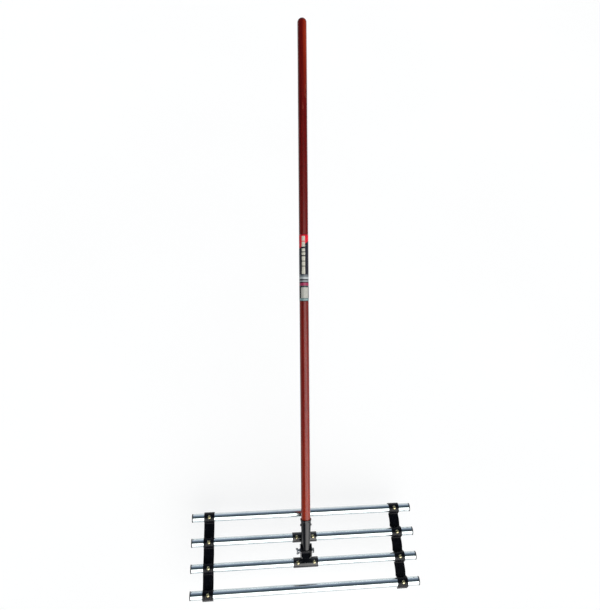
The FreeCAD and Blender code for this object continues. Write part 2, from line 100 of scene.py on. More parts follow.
# Sizes that the part's source holds and the frame doesn't give.
TUBE_PITCH = 0.0711
BELT_THICK = 0.003
BELT_BEND = 0.004
HUB_SCREW_X = 0.0251
BUTT_PLACE, BUTT_R = 0.0225, 0.0106
SOCKET_RIM = 0.0983
SOCKET_NOSE_R = 0.0125
BARREL_R = 0.008


# ---------------------------------------------------------------- small helpers


def linear(red, green, blue):
    """A colour given as 0 to 255 display values, as scene-linear RGBA."""
    parts = []
    for value in (red, green, blue):
        share = value / 255
        parts.append(share / 12.92 if share <= 0.04045 else ((share + 0.055) / 1.055) ** 2.4)
    return (*parts, 1.0)


def grey(value):
    return (value, value, value, 1)


def mesh_object(name, points, faces, material, body, replaced=()):
    mesh = bpy.data.meshes.new(name)
    mesh.from_pydata([tuple(point) for point in points], [], faces)
    mesh.validate()
    mesh.update()
    # Quads and triangles are shaded smooth; the flat end caps, with more corners, stay flat.
    mesh.polygons.foreach_set("use_smooth", [len(face) <= 4 for face in faces])
    mesh.materials.append(material)
    piece = bpy.data.objects.new(name, mesh)
    bpy.context.scene.collection.objects.link(piece)
    if body:
        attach(piece, body)
    if replaced:
        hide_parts(*replaced)
    return piece


def grid_faces(rows, columns, closed):
    """Quads over rows of points; closed joins each row's ends."""
    faces = []
    for row in range(rows - 1):
        for column in range(columns if closed else columns - 1):
            after = (column + 1) % columns
            faces.append((row * columns + column, row * columns + after,
                          (row + 1) * columns + after, (row + 1) * columns + column))
    return faces


def capped_faces(rows, columns):
    """Quads over closed rows of points, with a flat cap on the first row and on the last."""
    faces = grid_faces(rows, columns, True)
    faces.append(tuple(reversed(range(columns))))
    faces.append(tuple(range((rows - 1) * columns, rows * columns)))
    return faces


def arc(centre, radius, start, end, steps):
    """Points round an arc, by angles in degrees, as (a, b) pairs."""
    turn = [math.radians(start + (end - start) * step / steps) for step in range(steps + 1)]
    return [(centre[0] + radius * math.cos(angle), centre[1] + radius * math.sin(angle))
            for angle in turn]


# ---------------------------------------------------------------- node trees


class Nodes:
    """A node tree, with short calls that add and join nodes."""

    def __init__(self, tree):
        self.tree = tree

    def add(self, kind, **settings):
        node = self.tree.nodes.new(kind)
        for key, value in settings.items():
            setattr(node, key, value)
        return node

    def join(self, source, target):
        if isinstance(source, (int, float, tuple)):
            target.default_value = source
        else:
            self.tree.links.new(source, target)

    def ramp(self, source, stops, interpolation="LINEAR"):
        """A colour ramp from (position, grey or colour) stops; positions run from 0 to 1."""
        node = self.add("ShaderNodeValToRGB")
        node.color_ramp.interpolation = interpolation
        while len(node.color_ramp.elements) < len(stops):
            node.color_ramp.elements.new(0.5)
        for element, (position, colour) in zip(node.color_ramp.elements, stops):
            element.position = position
            element.color = colour if isinstance(colour, tuple) else grey(colour)
        self.join(source, node.inputs["Fac"])
        return node.outputs["Color"]

    def maths(self, operation, first, second=0.0, third=0.0):
        node = self.add("ShaderNodeMath", operation=operation)
        self.join(first, node.inputs[0])
        self.join(second, node.inputs[1])
        self.join(third, node.inputs[2])
        return node.outputs[0]

    def blend(self, factor, first, second):
        node = self.add("ShaderNodeMix", data_type="RGBA")
        self.join(factor, node.inputs[0])
        self.join(first, node.inputs[6])
        self.join(second, node.inputs[7])
        return node.outputs[2]

    def parts(self, source):
        node = self.add("ShaderNodeSeparateXYZ")
        self.join(source, node.inputs[0])
        return node.outputs


class Shading(Nodes):
    """A material's node tree, with the textures that the looks are made from."""

    def __init__(self, name):
        self.material = bpy.data.materials.new(name)
        self.material.use_nodes = True
        super().__init__(self.material.node_tree)
        self.shader = self.tree.nodes["Principled BSDF"]
        self.place = self.add("ShaderNodeTexCoord").outputs["Object"]

    def mapped(self, source, scale=(1, 1, 1), turn=(0, 0, 0), shift=(0, 0, 0), kind="POINT"):
        node = self.add("ShaderNodeMapping", vector_type=kind)
        self.join(source, node.inputs["Vector"])
        node.inputs["Scale"].default_value = scale
        node.inputs["Rotation"].default_value = turn
        node.inputs["Location"].default_value = shift
        return node.outputs["Vector"]

    def on_handle(self):
        """Object coordinates turned so that Z runs up the handle from the pivot."""
        return self.mapped(self.place, turn=(-LEAN, 0, 0), shift=tuple(PIVOT), kind="TEXTURE")

    def noise(self, source, scale, detail=4.0, rough=0.55):
        node = self.add("ShaderNodeTexNoise")
        self.join(source, node.inputs["Vector"])
        node.inputs["Scale"].default_value = scale
        node.inputs["Detail"].default_value = detail
        node.inputs["Roughness"].default_value = rough
        return node.outputs["Fac"]

    def bump(self, height, strength, distance):
        node = self.add("ShaderNodeBump")
        self.join(height, node.inputs["Height"])
        node.inputs["Strength"].default_value = strength
        node.inputs["Distance"].default_value = distance
        return node.outputs["Normal"]

    def edges(self, radius):
        """1 on flat and rounded faces, falling where faces meet at an edge."""
        soft = self.add("ShaderNodeBevel")
        soft.inputs["Radius"].default_value = radius
        soft.samples = 4
        sharp = self.add("ShaderNodeNewGeometry").outputs["Normal"]
        dot = self.add("ShaderNodeVectorMath", operation="DOT_PRODUCT")
        self.join(soft.outputs[0], dot.inputs[0])
        self.join(sharp, dot.inputs[1])
        return dot.outputs["Value"]

    def set(self, **sockets):
        for name, value in sockets.items():
            self.join(value, self.shader.inputs[name.replace("_", " ")])


# ---------------------------------------------------------------- materials


def stained_wood():
    """Red-brown stained hardwood under satin varnish: rings, pores and scuffs, paler below the
    label from faded stain and painted light, and a painted highlight on the right near the top.
    """
    mat = Shading("stained_wood")
    place = mat.on_handle()
    wander = mat.noise(mat.mapped(place, scale=(3, 3, 0.6)), 9, 3)
    across, _, height = mat.parts(place)

    rings = mat.add("ShaderNodeTexWave", wave_type="RINGS", rings_direction="Z", wave_profile="SAW")
    rings_from = mat.mapped(place, scale=(1, 1, 0.012), shift=(0.031, 0.018, 0))
    mat.join(rings_from, rings.inputs["Vector"])
    rings.inputs["Scale"].default_value = 95
    rings.inputs["Distortion"].default_value = 5.5
    rings.inputs["Detail"].default_value = 3
    rings.inputs["Detail Scale"].default_value = 1.4
    streak = mat.noise(mat.mapped(place, scale=(1, 1, 0.02)), 900, 5, 0.7)
    fibre = mat.noise(mat.mapped(place, scale=(1, 1, 0.035)), 2600, 2, 0.6)
    fine = mat.maths("MULTIPLY", streak, 0.58)
    tone = mat.maths("MULTIPLY_ADD", rings.outputs["Fac"], 0.42, fine)

    # Dark above the label and paler below it: partly a faded stain, partly painted light standing
    # for the brighter light on the lower half.
    upper = mat.ramp(tone, [(0.25, linear(44, 3, 3)), (0.5, linear(82, 6, 5)),
                            (0.75, linear(114, 15, 9))])
    lower = mat.ramp(tone, [(0.25, linear(76, 5, 4)), (0.5, linear(118, 15, 10)),
                            (0.75, linear(152, 48, 26))])
    downwards = mat.maths("MULTIPLY_ADD", height, -0.62, 0.72)
    wear_and_painted_light = mat.ramp(mat.maths("MULTIPLY_ADD", wander, 0.5, downwards), [(0.3, 0.0), (0.85, 1.0)])
    stain_and_painted_light = mat.blend(wear_and_painted_light, upper, lower)

    # Orange on the right side near the top, a painted highlight where the light from the right
    # falls, and a little warmer by the socket.
    upwards = mat.maths("MULTIPLY_ADD", height, 0.5, mat.maths("MULTIPLY", wander, 0.15))
    near_top = mat.ramp(upwards, [(0.74, 0.0), (0.85, 1.0)])
    right_side_highlight = mat.ramp(mat.maths("MULTIPLY_ADD", across, 60.0, 0.3), [(0.25, 0.0), (0.65, 0.25)])
    stain_and_painted_light = mat.blend(mat.maths("MULTIPLY", near_top, right_side_highlight), stain_and_painted_light, linear(196, 68, 24))
    warm = mat.ramp(mat.maths("MULTIPLY_ADD", wander, 0.2, height), [(0.2, 1.0), (0.5, 0.0)])
    stain_and_painted_light = mat.blend(mat.maths("MULTIPLY", warm, 0.16), stain_and_painted_light, linear(176, 66, 10))

    pores = mat.ramp(fibre, [(0.36, 0.0), (0.43, 1.0)])
    colour = mat.blend(mat.maths("MULTIPLY_ADD", pores, -0.45, 0.45), stain_and_painted_light, linear(30, 8, 8))
    marks = mat.noise(mat.mapped(place, scale=(1, 1, 0.3)), 60, 6, 0.75)
    scuffs = mat.ramp(marks, [(0.62, 0.0), (0.72, 1.0)])
    colour = mat.blend(mat.maths("MULTIPLY", scuffs, 0.22), colour, linear(196, 132, 104))
    rough = mat.maths("MULTIPLY_ADD", streak, 0.12, mat.maths("MULTIPLY_ADD", scuffs, 0.2, 0.13))
    grain = mat.bump(mat.maths("ADD", pores, mat.maths("MULTIPLY", streak, 0.8)), 0.2, 0.00006)
    mat.set(Base_Color=colour, Roughness=rough, Normal=grain, Specular_IOR_Level=0.3)
    return mat.material


def zinc_tube():
    """Bright zinc plate on drawn tube: lines along the tube, faint clouds and rubbed marks."""
    mat = Shading("zinc_tube")
    lines = mat.noise(mat.mapped(mat.place, scale=(0.01, 1, 1)), 1500, 3, 0.6)
    cloud = mat.noise(mat.mapped(mat.place, scale=(0.4, 1, 1)), 34, 5, 0.6)
    spots = mat.noise(mat.place, 260, 3, 0.7)
    scratches = mat.noise(mat.mapped(mat.place, scale=(1, 0.25, 0.25)), 420, 4, 0.7)
    marks = mat.ramp(scratches, [(0.64, 0.0), (0.7, 1.0)])
    plate = mat.ramp(cloud, [(0.3, linear(186, 196, 200)), (0.55, linear(210, 218, 220)),
                             (0.8, linear(196, 204, 212))])
    dull = mat.ramp(spots, [(0.6, 0.0), (0.78, 1.0)])
    colour = mat.blend(mat.maths("MULTIPLY", dull, 0.35), plate, linear(150, 158, 166))
    colour = mat.blend(mat.maths("MULTIPLY", marks, 0.3), colour, linear(128, 132, 138))
    rough = mat.maths("MULTIPLY_ADD", cloud, 0.12, mat.maths("MULTIPLY_ADD", marks, 0.22, 0.09))
    skin = mat.maths("MULTIPLY_ADD", lines, 1.0, mat.maths("MULTIPLY", cloud, 0.6))
    mat.set(Base_Color=colour, Roughness=rough, Normal=mat.bump(skin, 0.16, 0.00008), Metallic=1.0)
    return mat.material


def plated_hardware(name, light, dark, rough_low):
    """Small plated fasteners: slight colour drift, tool marks and bright rubbed corners."""
    mat = Shading(name)
    drift = mat.noise(mat.place, 190, 4, 0.6)
    fine = mat.noise(mat.place, 2400, 3, 0.7)
    colour = mat.ramp(drift, [(0.3, dark), (0.6, light)])
    corner = mat.ramp(mat.edges(0.0005), [(0.86, 0.0), (0.99, 1.0)])
    colour = mat.blend(mat.maths("MULTIPLY_ADD", corner, -0.3, 0.3), colour, linear(238, 236, 228))
    rough = mat.maths("MULTIPLY_ADD", fine, 0.2, rough_low)
    mat.set(Base_Color=colour, Roughness=rough, Normal=mat.bump(fine, 0.2, 0.00006), Metallic=1.0)
    return mat.material


def black_paint(name, gloss, rough_low):
    """Black powder coat: fine orange peel, dust in patches and bare metal at rubbed edges."""
    mat = Shading(name)
    peel = mat.noise(mat.place, 900, 2, 0.5)
    patch = mat.noise(mat.place, 75, 5, 0.65)
    chips = mat.noise(mat.place, 520, 4, 0.7)
    coat = mat.ramp(patch, [(0.3, linear(4, 4, 9)), (0.7, linear(12, 12, 19))])
    edge = mat.ramp(mat.edges(0.0007), [(0.88, 1.0), (0.985, 0.0)])
    bare = mat.maths("MULTIPLY", edge, mat.ramp(chips, [(0.5, 0.0), (0.6, 1.0)]))
    colour = mat.blend(mat.maths("MULTIPLY", edge, 0.3), coat, linear(70, 72, 80))
    colour = mat.blend(bare, colour, linear(150, 150, 152))
    rough = mat.maths("MULTIPLY_ADD", patch, 0.1, rough_low)
    mat.set(Base_Color=colour, Roughness=rough, Normal=mat.bump(peel, 0.12, 0.00005))
    mat.set(Metallic=mat.maths("MULTIPLY", bare, 0.9), Specular_IOR_Level=gloss)
    return mat.material


WEAVE_PER_METRE = 5200.0


def belt_rubber():
    """Black belting: fine cross weave, dusty patches and scuffed edges; the mesh has its ribs."""
    mat = Shading("belt_rubber")
    x, y, _ = mat.parts(mat.place)
    weft = mat.maths("SINE", mat.maths("MULTIPLY", y, WEAVE_PER_METRE))
    warp = mat.maths("SINE", mat.maths("MULTIPLY", x, WEAVE_PER_METRE))
    weave = mat.maths("MULTIPLY", weft, warp)
    dust = mat.noise(mat.place, 110, 5, 0.65)
    grit = mat.noise(mat.place, 1500, 3, 0.7)
    colour = mat.ramp(dust, [(0.25, linear(4, 4, 9)), (0.6, linear(8, 8, 15)),
                             (0.85, linear(22, 22, 31))])
    edge = mat.ramp(mat.edges(0.0006), [(0.9, 1.0), (0.99, 0.0)])
    colour = mat.blend(mat.maths("MULTIPLY", edge, 0.2), colour, linear(56, 58, 70))
    rough = mat.maths("MULTIPLY_ADD", dust, 0.14, 0.16)
    surface = mat.bump(mat.maths("MULTIPLY_ADD", weave, 0.35, grit), 0.2, 0.00004)
    mat.set(Base_Color=colour, Roughness=rough, Normal=surface, Specular_IOR_Level=0.16)
    return mat.material


def plug_plastic():
    """Black moulded plastic with a fine grain."""
    mat = Shading("plug_plastic")
    grain = mat.noise(mat.place, 1300, 3, 0.6)
    tone = mat.noise(mat.place, 120, 3)
    colour = mat.ramp(tone, [(0.3, linear(16, 16, 19)), (0.75, linear(34, 34, 38))])
    mat.set(Base_Color=colour, Roughness=mat.maths("MULTIPLY_ADD", tone, 0.2, 0.38))
    mat.set(Normal=mat.bump(grain, 0.25, 0.00008))
    return mat.material


WOOD = stained_wood()
ZINC = zinc_tube()
YELLOW = plated_hardware("yellow_zinc", linear(190, 184, 152), linear(132, 122, 84), 0.1)
BRIGHT = plated_hardware("bright_zinc", linear(172, 174, 178), linear(120, 124, 130), 0.18)
PAINT = black_paint("black_paint", 0.42, 0.1)
GLOSSY = black_paint("saddle_paint", 0.52, 0.1)
GREASED = black_paint("greased_paint", 0.14, 0.4)
BELT = belt_rubber()
PLUG = plug_plastic()

# ---------------------------------------------------------------- looks of the CAD pieces

# A few pieces have a look of their own; the others have the look of their material slot.
OWN_LOOKS = {"pivot_barrel": GREASED, "hub_saddle_rear": GLOSSY, "hub_saddle_front": GLOSSY}
SLOT_LOOKS = {
    "zinc_tube": ZINC, "plug_plastic": PLUG, "yellow_zinc": YELLOW, "bright_zinc": BRIGHT,
    "black_paint": PAINT, "black_rivet": PAINT, "belt_rubber": BELT, "stained_wood": WOOD,
    "label_print": WOOD,
}
SLOTS = {item["node"]: item["material_slot"] for item in record["subparts"]}
for node, piece in frame["nodes"].items():
    piece.data.materials.clear()
    piece.data.materials.append(OWN_LOOKS.get(node, SLOT_LOOKS[SLOTS[node]]))


def soften(node, width):
    """Rounds a CAD piece's edges with modifiers; its own mesh stays as it is."""
    piece = frame["nodes"][node]
    weld = piece.modifiers.new("weld", "WELD")
    weld.merge_threshold = 0.00001
    bevel = piece.modifiers.new("bevel", "BEVEL")
    bevel.width = width
    bevel.segments = 3
    bevel.limit_method = "ANGLE"
    bevel.angle_limit = math.radians(32)
    bevel.harden_normals = True


for node in ("hub_saddle_rear", "hub_saddle_front", "hub_spine", "yoke"):
    soften(node, 0.0006)
for node in sorted(name for name in frame["nodes"] if name.startswith("end_plug")):
    soften(node, 0.0009)
for node in ("pivot_bolt", "bolt_head_washer", "pivot_washer", "wing_nut", "pivot_barrel"):
    soften(node, 0.0004)

# ---------------------------------------------------------------- the pole


def pole_profile():
    """The pole as (distance along the handle, radius) pairs: tapered butt, straight, domed top."""
    rings, dome_rings = 150, 14
    straight_end = POLE_LENGTH - POLE_R
    run = straight_end - SOCKET_RIM
    profile = [(BUTT_PLACE, BUTT_R * 0.93), (BUTT_PLACE + 0.001, BUTT_R), (SOCKET_RIM, POLE_R)]
    profile += [(SOCKET_RIM + run * step / rings, POLE_R) for step in range(1, rings + 1)]
    for step in range(1, dome_rings):
        angle = math.radians(90 * step / dome_rings)
        profile.append((straight_end + POLE_R * math.sin(angle), POLE_R * math.cos(angle)))
    profile.append((POLE_LENGTH - 0.00005, 0.0004))
    return profile


SWELL = 0.00012


def turning_marks(place, angle):
    """The turned pole isn't a perfect cylinder: its radius wavers a little above the socket."""
    if place < 0.1 or place > POLE_LENGTH - POLE_R:
        return 0
    point = Vector((math.cos(angle) * 0.5, math.sin(angle) * 0.5, place * 9))
    return SWELL * noise.noise(point) - SWELL / 2


def make_pole():
    profile = pole_profile()
    around = 72
    other = ALONG.cross(ACROSS)
    points = []
    for place, radius in profile:
        for step in range(around):
            angle = 2 * math.pi * step / around
            size = radius + turning_marks(place, angle)
            radial = ACROSS * math.cos(angle) + other * math.sin(angle)
            points.append(PIVOT + ALONG * place + radial * size)
    faces = capped_faces(len(profile), around)
    mesh_object("pole", points, faces, WOOD, "handle", ["wooden_handle"])


make_pole()

# ---------------------------------------------------------------- weld at the socket's nose


def weld_bead():
    """The bead where the socket's nose sits on the pivot barrel, over its outer side."""
    bead = 0.0016
    lowest = 0.0036
    half_sweep = 96
    steps, around = 90, 12
    points = []
    for step in range(steps + 1):
        angle = math.radians(-half_sweep + 2 * half_sweep * step / steps)
        out = SOCKET_NOSE_R * math.cos(angle)
        place = max(lowest, math.sqrt(max(BARREL_R ** 2 - out ** 2, 0)) + 0.0004)
        centre = PIVOT + ALONG * place + OUTWARD * out + ACROSS * SOCKET_NOSE_R * math.sin(angle)
        radial = OUTWARD * math.cos(angle) + ACROSS * math.sin(angle)
        end_taper = 0.3 if step in (0, steps) else 1
        ripple = bead * (1 + 0.14 * math.cos(step * math.pi / 2.5)) * end_taper
        for turn in range(around):
            spin = 2 * math.pi * turn / around
            points.append(centre + (radial * math.cos(spin) + ALONG * math.sin(spin)) * ripple)
    faces = capped_faces(steps + 1, around)
    mesh_object("socket_weld", points, faces, PAINT, "handle")


weld_bead()

# ---------------------------------------------------------------- belts

RIBS = 6
STEPS_PER_RIB = 8
GROOVE = 0.0005
BELT_EDGE_R = 0.0008
WAVER = 0.0004
# How far the front end flares out, how far the free spans sway, and the row of noise they use.
BELT_SHAPES = {
    "left": {"flare": 0.003, "lean": 0.0007, "seed": 3.0},
    "right": {"flare": 0.0036, "lean": 0.0022, "seed": 9.0},
}


def belt_path(flare):
    """The belt's middle line in the YZ plane, from its rear end to its flared front end."""
    arch = BELT_TOP - TUBE_R - BELT_THICK / 2
    run = arch + BELT_BEND
    path = [(TUBE_Y[0] + arch, BELT_END + (TUBE_R - BELT_END) * step / 6) for step in range(6)]
    for index, y in enumerate(TUBE_Y):
        if index:
            path += arc((y + run, TUBE_R), BELT_BEND, 270, 180, 10)
        path += arc((y, TUBE_R), arch, 0, 180, 40)[1:]
        if index < 3:
            path += arc((y - run, TUBE_R), BELT_BEND, 360, 270, 10)[1:]
            start, stop = y - run, TUBE_Y[index + 1] + run
            shares = [step / 24 for step in range(1, 24)]
            if index == 1:
                # Rows close to the seam between the two halves keep its shading flat.
                shares = sorted(shares + [0.5 - 0.0015, 0.5 + 0.0015])
            path += [(start + (stop - start) * share, TUBE_R - BELT_BEND) for share in shares]
    for step in range(1, 13):
        share = step / 12
        down = share - 0.3 * share ** 3
        path.append((TUBE_Y[3] - arch - flare * share ** 1.6, TUBE_R + (BELT_END - TUBE_R) * down))
    return path


def belt_section():
    """The belt's cross-section as (across, up) pairs, ribbed on top, with rounded edges."""
    half = BELT_THICK / 2
    steps = RIBS * STEPS_PER_RIB
    top = []
    for step in range(steps + 1):
        across = -BELT_HALF + BELT_EDGE_R + (2 * BELT_HALF - 2 * BELT_EDGE_R) * step / steps
        wave = 0.5 + 0.5 * math.cos(2 * math.pi * RIBS * step / steps)
        top.append((across, half - GROOVE * wave ** 3))
    right = arc((BELT_HALF - BELT_EDGE_R, half - 0.0009), BELT_EDGE_R, 80, 0, 3)
    right += arc((BELT_HALF - BELT_EDGE_R, -half + BELT_EDGE_R), BELT_EDGE_R, 0, -90, 3)
    left = [(-across, up) for across, up in reversed(right)]
    bottom = [(BELT_HALF * (1 - share), -half) for share in (0.5, 1.0, 1.5)]
    return top + right + bottom + left


def belt_rows(side, path, section):
    """The belt's cross-section at each point of its path; the free spans sway a little sideways."""
    shape = BELT_SHAPES[side]
    rows = []
    for index, (y, z) in enumerate(path):
        before = path[max(index - 1, 0)]
        after = path[min(index + 1, len(path) - 1)]
        tangent = Vector((0, after[0] - before[0], after[1] - before[1])).normalized()
        up = ACROSS.cross(tangent) * -1
        # 1 on the flat spans between tubes, 0 from a millimetre above or below them.
        low = max(0.0, 1 - abs(z - (TUBE_R - BELT_BEND)) / 0.001)
        phase = math.pi * (y % TUBE_PITCH) / TUBE_PITCH - math.pi / 2
        sway = -shape["lean"] * low * math.cos(phase) ** 2
        wave = WAVER * noise.noise(Vector((y * 40, shape["seed"], 0)))
        shift = Vector((BELT_X[side] + sway + wave, y, z))
        rows.append([shift + ACROSS * across + up * height for across, height in section])
    return rows


def make_belt(side):
    """One belt in two halves that meet at the hub's middle."""
    path = belt_path(BELT_SHAPES[side]["flare"])
    section = belt_section()
    rows = belt_rows(side, path, section)
    split = min(range(len(path)),
                key=lambda index: abs(path[index][0]) + abs(path[index][1] - TUBE_R + BELT_BEND))
    rear_nodes = [f"belt_{side}_rear", f"belt_{side}_middle"]
    front_nodes = [f"belt_{side}_front"]
    halves = (
        ("rear", rows[:split + 1], "rear_tube", "head", "rear_tube_flex", rear_nodes),
        ("front", rows[split:], "head", "front_tube", "front_tube_flex", front_nodes),
    )
    for part, half_rows, first, second, joint, nodes in halves:
        points = [point for row in half_rows for point in row]
        faces = capped_faces(len(half_rows), len(section))
        name = f"belt_{side}_{part}_half"
        piece = mesh_object(name, points, faces, BELT, None, nodes)
        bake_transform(piece)


make_belt("left")
make_belt("right")

# ---------------------------------------------------------------- screws

SCREW_RINGS, SCREW_SPOKES = 26, 96
# Heads are set this far into the surface under them.
SCREW_SUNK = 0.0002
# The crown's height, its fall towards the rim, and the rounding outside a share of the radius.
CROWN_HEIGHT, CROWN_FALL, RIM_FROM, RIM_FALL = 0.0032, 0.002, 0.92, 0.0005
# The cross recess: half an arm's width, an arm's reach, its depth and its floor's height.
RECESS_HALF, RECESS_REACH, RECESS_DEPTH, RECESS_FLOOR = 0.0007, SCREW_R * 0.52, 0.0018, 0.0015
# How far its side walls and its arms' ends slope.
WALL_SLOPE, END_SLOPE = 0.0003, 0.0007


def clamp(value):
    return max(0.0, min(1.0, value))


def head_height(x, y, share):
    """The height of a domed pan head with a cross recess, at a share of its radius."""
    height = CROWN_HEIGHT - CROWN_FALL * share ** 2.2
    if share > RIM_FROM:
        height -= RIM_FALL * ((share - RIM_FROM) / (1 - RIM_FROM)) ** 2
    arm, reach = min(abs(x), abs(y)), max(abs(x), abs(y))
    deep = clamp((RECESS_HALF - arm) / WALL_SLOPE + 0.5)
    deep *= clamp((RECESS_REACH - reach) / END_SLOPE + 0.5)
    return height - RECESS_DEPTH * deep * (1 - 0.25 * reach / RECESS_REACH)


def screw_points(centre, turn):
    """A screw's head as rings round its axis, from the recess out to its rim and underside."""
    angles = [2 * math.pi * spoke / SCREW_SPOKES for spoke in range(SCREW_SPOKES)]
    points = [Vector((0, 0, RECESS_FLOOR))]
    for ring in range(1, SCREW_RINGS + 1):
        share = ring / SCREW_RINGS
        flat = SCREW_R * share
        for angle in angles:
            x, y = flat * math.cos(angle), flat * math.sin(angle)
            points.append(Vector((x, y, head_height(x, y, share))))
    points += [Vector((SCREW_R * math.cos(angle), SCREW_R * math.sin(angle), 0))
               for angle in angles]
    spin = Matrix.Rotation(turn, 3, "Z")
    points = [centre + spin @ point for point in points]
    faces = [(0, 1 + spoke, 1 + (spoke + 1) % SCREW_SPOKES) for spoke in range(SCREW_SPOKES)]
    rings = grid_faces(SCREW_RINGS + 1, SCREW_SPOKES, True)
    faces += [tuple(1 + corner for corner in face) for face in rings]
    faces.append(tuple(reversed([1 + SCREW_RINGS * SCREW_SPOKES + spoke
                                 for spoke in range(SCREW_SPOKES)])))
    return points, faces


def screws(name, places, body, node):
    """The heads at all the places as one piece, each with its recess turned differently."""
    points, faces = [], []
    for order, place in enumerate(places):
        more, ring = screw_points(Vector(place), 0.5 + 1.9 * order)
        faces += [tuple(corner + len(points) for corner in face) for face in ring]
        points += more
    mesh_object(name, points, faces, YELLOW, body, [node])


def screw_places(indices, across, top):
    """Places on the tubes with these indices, at these X, on a surface at this height."""
    return [(x, TUBE_Y[index], top - SCREW_SUNK) for index in indices for x in across]


BELT_MIDDLES = tuple(BELT_X.values())
HUB_SIDES = (-HUB_SCREW_X, HUB_SCREW_X)
screws("screws_rear_tube", screw_places([0], BELT_MIDDLES, BELT_TOP),
       "rear_tube", "belt_screws_rear")
screws("screws_middle_tubes", screw_places([1, 2], BELT_MIDDLES, BELT_TOP),
       "head", "belt_screws_middle")
screws("screws_front_tube", screw_places([3], BELT_MIDDLES, BELT_TOP),
       "front_tube", "belt_screws_front")
screws("screws_hub", screw_places([1, 2], HUB_SIDES, HUB_TOP), "head", "hub_screws")

# ---------------------------------------------------------------- label

# Pale blocks in the label's dark field, as heights in metres above the label's lower edge.
BLOCKS = (
    (0.0827, 0.1050), (0.1075, 0.1200), (0.1225, 0.1355), (0.1395, 0.1475), (0.1505, 0.1595),
    (0.1650, 0.1800), (0.1825, 0.1970),
)
# Half the blocks' width, how ragged their sides are, and how far left of the middle they lie.
BLOCK_HALF, BLOCK_RAGGED, BLOCK_LEFT = 0.0061, 0.0024, 0.0026
# Printed bands from the label's lower edge upwards: the height where each starts and its colour.
BANDS = (
    (0.0, (18, 20, 26)), (0.002, (108, 132, 134)), (0.0085, (16, 18, 26)),
    (0.0445, (50, 70, 72)), (0.0470, (136, 40, 74)), (0.0560, (14, 16, 26)),
    (0.0590, (132, 138, 142)), (0.0625, (16, 18, 34)), (0.0665, (150, 156, 160)),
    (0.0740, (88, 94, 100)), (0.0805, (12, 12, 30)),
)
# The red field lies above a slanting line: its height at the middle, and its rise to the right.
RED_FROM, RED_SLANT = 0.1715, 0.85
# The paper sticker's lower and upper edge, above the label's lower edge.
STICKER = (0.0100, 0.0425)


def label_film():
    """A printed wrap: red over navy, pale blocks, grey and crimson bands, and no lettering."""
    mat = Shading("label_film")
    x, y, z = mat.parts(mat.on_handle())
    height = mat.maths("SUBTRACT", z, LABEL_LOW)
    stops = [(start / LABEL_LENGTH, linear(*colour)) for start, colour in BANDS]
    bands = mat.ramp(mat.maths("DIVIDE", height, LABEL_LENGTH), stops, "CONSTANT")
    slant = mat.maths("MULTIPLY_ADD", x, RED_SLANT, RED_FROM)
    colour = mat.blend(mat.maths("GREATER_THAN", height, slant), bands, linear(188, 10, 34))
    front = mat.maths("LESS_THAN", y, 0.0)
    side = mat.maths("ABSOLUTE", mat.maths("ADD", x, BLOCK_LEFT))
    ragged = mat.maths("MULTIPLY", mat.noise(mat.place, 420, 2), BLOCK_RAGGED)
    narrow = mat.maths("LESS_THAN", side, mat.maths("SUBTRACT", BLOCK_HALF, ragged))
    for start, stop in BLOCKS:
        centre, half = (start + stop) / 2, (stop - start) / 2
        over = mat.maths("ABSOLUTE", mat.maths("SUBTRACT", height, centre))
        inside = mat.maths("LESS_THAN", over, half)
        inside = mat.maths("MULTIPLY", mat.maths("MULTIPLY", inside, narrow), front)
        colour = mat.blend(inside, colour, linear(176, 174, 162))
    rub = mat.noise(mat.place, 300, 5, 0.7)
    wear_and_painted_light = mat.ramp(rub, [(0.6, 0.0), (0.75, 1.0)])
    colour = mat.blend(mat.maths("MULTIPLY", wear_and_painted_light, 0.16), colour, linear(120, 118, 116))
    mat.set(Base_Color=colour, Roughness=mat.maths("MULTIPLY_ADD", rub, 0.16, 0.18))
    mat.set(Normal=mat.bump(mat.noise(mat.place, 900, 3), 0.1, 0.00006), Specular_IOR_Level=0.35)
    return mat.material


def sticker_paper():
    """Plain paper with faint upright ruled lines."""
    mat = Shading("sticker_paper")
    tone = mat.noise(mat.place, 240, 4, 0.6)
    colour = mat.ramp(tone, [(0.3, linear(150, 150, 144)), (0.7, linear(172, 172, 166))])
    lines = mat.noise(mat.mapped(mat.on_handle(), scale=(1, 1, 0.002)), 900, 2, 0.8)
    ruled = mat.ramp(lines, [(0.52, 0.0), (0.6, 1.0)])
    colour = mat.blend(mat.maths("MULTIPLY", ruled, 0.4), colour, linear(96, 96, 96))
    mat.set(Base_Color=colour, Roughness=0.5, Normal=mat.bump(tone, 0.15, 0.0001))
    return mat.material


# The film's thickness, the height of its creases and how far its edges are pressed down.
FILM_THICK, CREASE, PRESSED = 0.0001, 0.00003, 0.00008


def wrap(name, low, high, first, last, lift, material, replaced=()):
    """A thin film on the pole between two heights and two angles, slightly creased."""
    steps_up, steps_round = 40, 60
    points = []
    for up in range(steps_up + 1):
        place = low + (high - low) * up / steps_up
        for turn in range(steps_round + 1):
            angle = math.radians(first + (last - first) * turn / steps_round)
            crease = CREASE * noise.noise(Vector((angle * 2, place * 120, 1)))
            pressed = PRESSED if turn in (0, steps_round) or up in (0, steps_up) else 0
            radial = ACROSS * math.sin(angle) + OUTWARD * math.cos(angle)
            points.append(PIVOT + ALONG * place + radial * (POLE_R + lift + crease - pressed))
    faces = [tuple(reversed(face)) for face in grid_faces(steps_up + 1, steps_round + 1, False)]
    piece = mesh_object(name, points, faces, material, "handle", replaced)
    thick = piece.modifiers.new("film", "SOLIDIFY")
    thick.thickness = FILM_THICK
    thick.offset = -1


wrap("label_wrap", LABEL_LOW, LABEL_LOW + LABEL_LENGTH, -178, 178, 0.00016, label_film(),
     ["handle_label"])
wrap("label_sticker", LABEL_LOW + STICKER[0], LABEL_LOW + STICKER[1], -44, 50, 0.0003,
     sticker_paper())

# ---------------------------------------------------------------- floor, light and camera

# The handle stays put when the head tilts, so the floor lies below the head's lowest reach.
HEAD_REACH = 0.135
FLOOR_SIZE = 120


